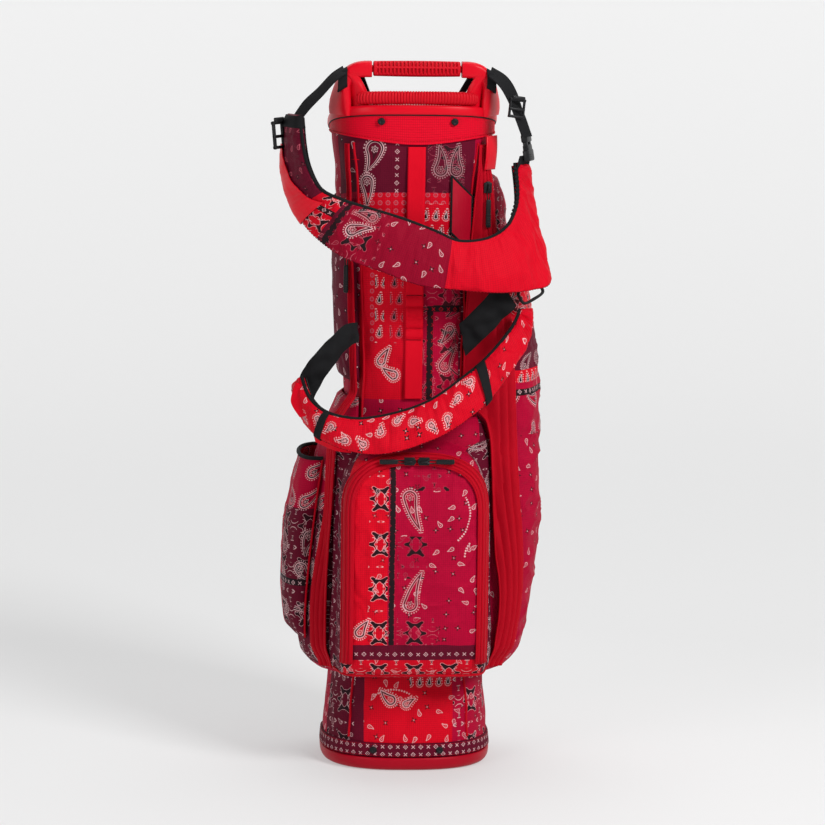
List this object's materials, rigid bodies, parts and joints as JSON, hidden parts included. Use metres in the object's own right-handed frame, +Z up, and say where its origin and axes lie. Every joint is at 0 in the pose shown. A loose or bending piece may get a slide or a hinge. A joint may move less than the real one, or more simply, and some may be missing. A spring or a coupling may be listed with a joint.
{
  "type": "golf stand bag",
  "caption": "Soft golf bag on a moulded base, with a handle and divided mouth at the top, zipped pockets, padded shoulder straps and a sprung folding stand.",
  "frame": {"origin": "centre of the flat underside of the moulded base", "axes": "+Z up along the bag, -Y towards the harness and ball pocket, +Y towards the folded stand legs, +X to the side with the tall pocket"},
  "size_m": [0.3506, 0.3259, 0.8877],
  "materials": {
    "red_plastic": "satin moulded",
    "red_rubber": "matt ribbed",
    "red_webbing": "woven",
    "red_print": "printed ripstop weave",
    "burgundy_print": "printed ripstop weave",
    "black_plastic": "satin moulded",
    "black_webbing": "woven",
    "black_rubber": "matt",
    "aluminium_tube": "anodised satin",
    "spring_steel": "drawn",
    "glass_fibre": "pultruded"
  },
  "bodies": {
    "root": {"base_cup": "red_plastic", "collar": "red_plastic", "top_handle": "red_plastic", "leg_bracket": "red_plastic", "rim_grip": "red_rubber", "handle_grip": "red_rubber", "cuff_cover": "red_webbing", "side_zip_left": "red_webbing", "side_zip_right": "red_webbing", "ball_pocket_zip": "red_webbing", "spine_webbing": "red_webbing", "glove_patch": "red_webbing", "body_shell": "red_print", "ball_pocket": "red_print", "side_pocket_left": "red_print", "side_pocket_right": "red_print", "bottle_pouch": "red_print", "upper_strap_pad": "red_print", "lower_strap_pad": "red_print", "base_binding": "burgundy_print", "valuables_pocket": "burgundy_print", "ladder_lock_left": "black_plastic", "ladder_lock_right": "black_plastic", "buckle_socket": "black_plastic", "buckle_plug": "black_plastic", "cuff_rivet_left": "black_plastic", "cuff_rivet_right": "black_plastic", "base_rivet_left": "black_plastic", "base_rivet_right": "black_plastic", "shoe_guide": "black_plastic", "top_divider": "black_webbing", "upper_web_left": "black_webbing", "upper_web_right": "black_webbing", "lower_web_left": "black_webbing", "lower_web_right": "black_webbing", "leg_pin_left": "spring_steel", "leg_pin_right": "spring_steel", "spine_stay": "glass_fibre", "stay_left": "glass_fibre", "stay_right": "glass_fibre"},
    "left_leg": {"leg_knuckle_left": "black_plastic", "leg_tube_left": "aluminium_tube", "leg_foot_left": "black_rubber", "leg_clip_left": "black_plastic"},
    "right_leg": {"leg_knuckle_right": "black_plastic", "leg_tube_right": "aluminium_tube", "leg_foot_right": "black_rubber", "leg_clip_right": "black_plastic"},
    "push_shoe": {"push_shoe": "black_plastic"},
    "left_rod": {"push_rod_left": "spring_steel"},
    "right_rod": {"push_rod_right": "spring_steel"},
    "left_zip_slider": {"side_zip_slider_left": "black_plastic"},
    "right_zip_slider": {"side_zip_slider_right": "black_plastic"},
    "left_zip_pull": {"side_zip_pull_left": "black_plastic"},
    "right_zip_pull": {"side_zip_pull_right": "black_plastic"},
    "ball_slider_left": {"ball_zip_slider_left": "black_plastic"},
    "ball_slider_right": {"ball_zip_slider_right": "black_plastic"},
    "ball_pull_left": {"ball_zip_pull_left": "black_plastic"},
    "ball_pull_right": {"ball_zip_pull_right": "black_plastic"},
    "strap_ring": {"strap_ring": "black_plastic"}
  },
  "joints": [
    {"name": "left_leg_swing", "type": "hinge", "parent": "root", "child": "left_leg", "pos_m": [-0.05, 0.127, 0.775], "axis": [0.9063, 0.4226, 0], "range_deg": [0, 25], "stiffness_Nm_per_rad": 0.6, "springref_deg": -17.19},
    {"name": "right_leg_swing", "type": "hinge", "parent": "root", "child": "right_leg", "pos_m": [0.05, 0.127, 0.775], "axis": [0.9063, -0.4226, 0], "range_deg": [0, 25]},
    {"name": "push_shoe_rise", "type": "slide", "parent": "root", "child": "push_shoe", "axis": [0, 0, 1], "range_m": [0, 0.0262]},
    {"name": "left_rod_tilt", "type": "hinge", "parent": "push_shoe", "child": "left_rod", "pos_m": [-0.03414, 0.1344, 0.075], "axis": [-0.9063, -0.4226, 0], "range_deg": [0, 9.8]},
    {"name": "right_rod_tilt", "type": "hinge", "parent": "push_shoe", "child": "right_rod", "pos_m": [0.03414, 0.1344, 0.075], "axis": [-0.9063, 0.4226, 0], "range_deg": [0, 9.8]},
    {"name": "left_zip_slide", "type": "slide", "parent": "root", "child": "left_zip_slider", "axis": [0.052, 0.0455, -0.9976], "range_m": [0, 0.04]},
    {"name": "right_zip_slide", "type": "slide", "parent": "root", "child": "right_zip_slider", "axis": [0.06, -0.055, -0.9967], "range_m": [0, 0.02]},
    {"name": "left_zip_pull_swing", "type": "hinge", "parent": "left_zip_slider", "child": "left_zip_pull", "pos_m": [-0.08351, -0.07755, 0.647], "axis": [-0.8947, 0.4467, 0], "range_deg": [0, 100]},
    {"name": "right_zip_pull_swing", "type": "hinge", "parent": "right_zip_slider", "child": "right_zip_pull", "pos_m": [0.09088, -0.08535, 0.73], "axis": [-0.956, -0.2934, 0], "range_deg": [0, 100]},
    {"name": "ball_zip_slide_left", "type": "slide", "parent": "root", "child": "ball_slider_left", "axis": [-1, 0, 0], "range_m": [0, 0.02]},
    {"name": "ball_zip_slide_right", "type": "slide", "parent": "root", "child": "ball_slider_right", "axis": [1, 0, 0], "range_m": [0, 0.02]},
    {"name": "ball_pull_swing_left", "type": "hinge", "parent": "ball_slider_left", "child": "ball_pull_left", "pos_m": [-0.012, -0.17067, 0.404], "axis": [0, 0, 1], "range_deg": [0, 100]},
    {"name": "ball_pull_swing_right", "type": "hinge", "parent": "ball_slider_right", "child": "ball_pull_right", "pos_m": [0.012, -0.17067, 0.404], "axis": [0, 0, -1], "range_deg": [0, 100]},
    {"name": "strap_ring_swing", "type": "hinge", "parent": "root", "child": "strap_ring", "pos_m": [0.143, -0.0985, 0.605], "axis": [0.8378, 0.2793, 0.4692], "range_deg": [-30, 30]}
  ],
  "couplings": [
    {"joint": "right_leg_swing", "follows": "left_leg_swing", "ratio": 1},
    {"joint": "push_shoe_rise", "follows": "left_leg_swing", "m_per_rad": 0.05936},
    {"joint": "left_rod_tilt", "follows": "left_leg_swing", "ratio": 0.3892},
    {"joint": "right_rod_tilt", "follows": "left_leg_swing", "ratio": 0.3892}
  ]
}
